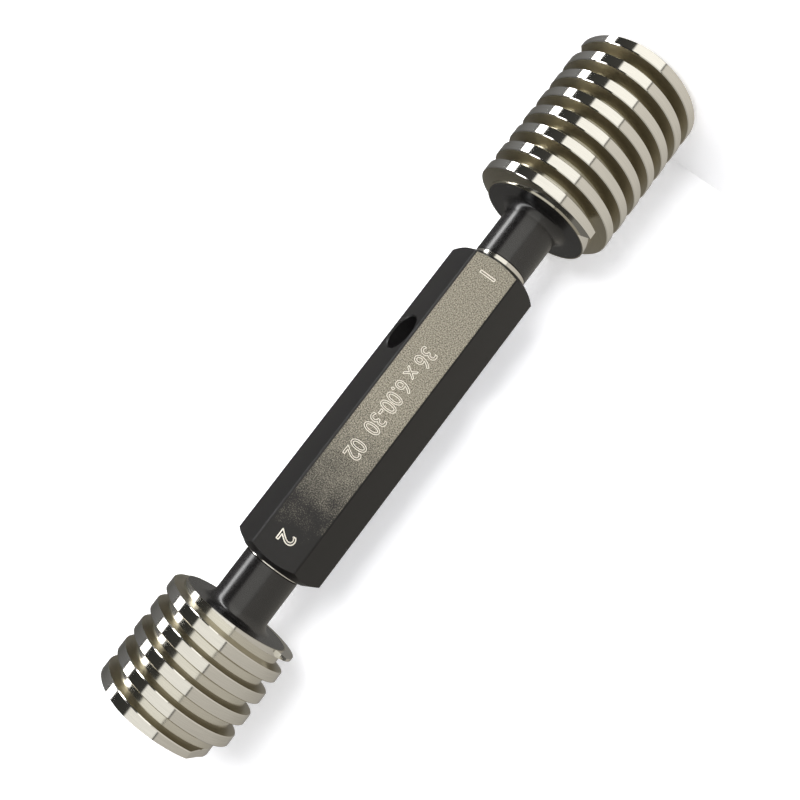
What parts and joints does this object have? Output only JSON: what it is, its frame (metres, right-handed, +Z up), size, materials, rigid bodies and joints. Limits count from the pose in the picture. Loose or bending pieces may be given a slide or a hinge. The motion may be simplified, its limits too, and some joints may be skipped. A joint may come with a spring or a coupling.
{
  "type": "thread plug gauge",
  "caption": "Double-ended thread plug gauge: hexagonal black handle with a drift hole, and a go and a shorter no-go head with coarse left-hand trapezoidal threads.",
  "frame": {"origin": "middle of the go head's outer face, on which the gauge stands", "axes": "+Z up the common axis of both threads, towards the no-go head; the marked flat of the handle faces -Y"},
  "size_m": [0.0368, 0.0368, 0.1986],
  "materials": {
    "black_oxide_steel": "black oxide over rolled and milled steel, satin",
    "ground_steel": "finely ground thread, black oxide left on the neck and the inner head face"
  },
  "bodies": {
    "root": {"handle": "black_oxide_steel", "go_member": "ground_steel", "no_go_member": "ground_steel"}
  },
  "joints": []
}
